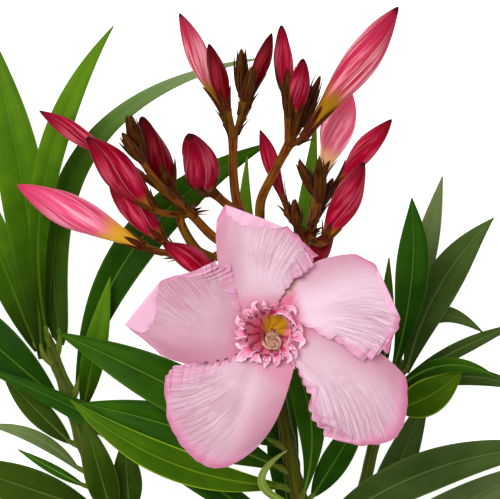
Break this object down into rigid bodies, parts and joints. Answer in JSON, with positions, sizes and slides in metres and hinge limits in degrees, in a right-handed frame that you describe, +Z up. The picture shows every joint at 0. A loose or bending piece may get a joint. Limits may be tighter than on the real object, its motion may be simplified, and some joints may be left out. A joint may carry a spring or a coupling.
{
  "type": "cut oleander branch",
  "caption": "Cut flowering branch of oleander lying down: one open pink bloom, a head of pointed buds and whorls of narrow leaves on a forked stem.",
  "frame": {"origin": "centre of the flat cut across the foot of the main stem", "axes": "+Y along the stem from the cut towards the bloom, +Z up from the surface that the branch lies on, +X to the right of the run of the stem"},
  "size_m": [0.1402, 0.152, 0.0596],
  "materials": {
    "stem": "smooth green bark, satin",
    "stalk": "smooth red-brown stalk, satin",
    "leaf": "leathery green blade, satin",
    "bud": "crimson to coral pink bud, satin",
    "petal": "pale pink petal with fine veins, soft matt",
    "fringe": "rose pink fringe, soft matt",
    "stamen": "peach hairs, matt"
  },
  "bodies": {
    "root": {"main_stem": "stem", "left_shoot": "stem", "right_shoot": "stem", "flower_stalk": "stem", "branch_top_left": "stalk", "branch_top": "stalk", "branch_left": "stalk", "branch_right": "stalk", "bud_1": "bud", "bud_4": "bud", "bud_7": "bud", "bud_8": "bud", "bud_9": "bud", "bud_10": "bud", "bud_11": "bud", "bud_12": "bud", "bud_14": "bud", "bud_15": "bud", "bud_16": "bud", "bud_17": "bud", "leaf_left_1": "leaf", "leaf_left_2": "leaf", "leaf_left_3": "leaf", "leaf_left_4": "leaf", "leaf_left_5": "leaf", "leaf_left_6": "leaf", "leaf_left_7": "leaf", "leaf_left_8": "leaf", "leaf_left_9": "leaf", "leaf_left_10": "leaf", "leaf_left_11": "leaf", "leaf_left_12": "leaf", "leaf_left_13": "leaf", "leaf_right_1": "leaf", "leaf_right_2": "leaf", "leaf_right_3": "leaf", "leaf_right_4": "leaf", "leaf_right_5": "leaf", "leaf_right_6": "leaf", "leaf_right_7": "leaf", "leaf_right_8": "leaf", "leaf_right_9": "leaf", "leaf_right_10": "leaf", "leaf_right_11": "leaf", "leaf_front_1": "leaf", "leaf_front_2": "leaf", "leaf_front_3": "leaf", "leaf_front_4": "leaf", "leaf_front_5": "leaf", "leaf_under_1": "leaf", "leaf_under_2": "leaf", "leaf_under_3": "leaf", "leaf_under_4": "leaf", "leaf_back_1": "leaf", "leaf_back_2": "leaf", "young_leaf": "leaf", "bloom_stalk": "stalk", "corolla": "petal", "throat_fringe": "fringe", "stamen_cone": "stamen"}
  },
  "joints": []
}
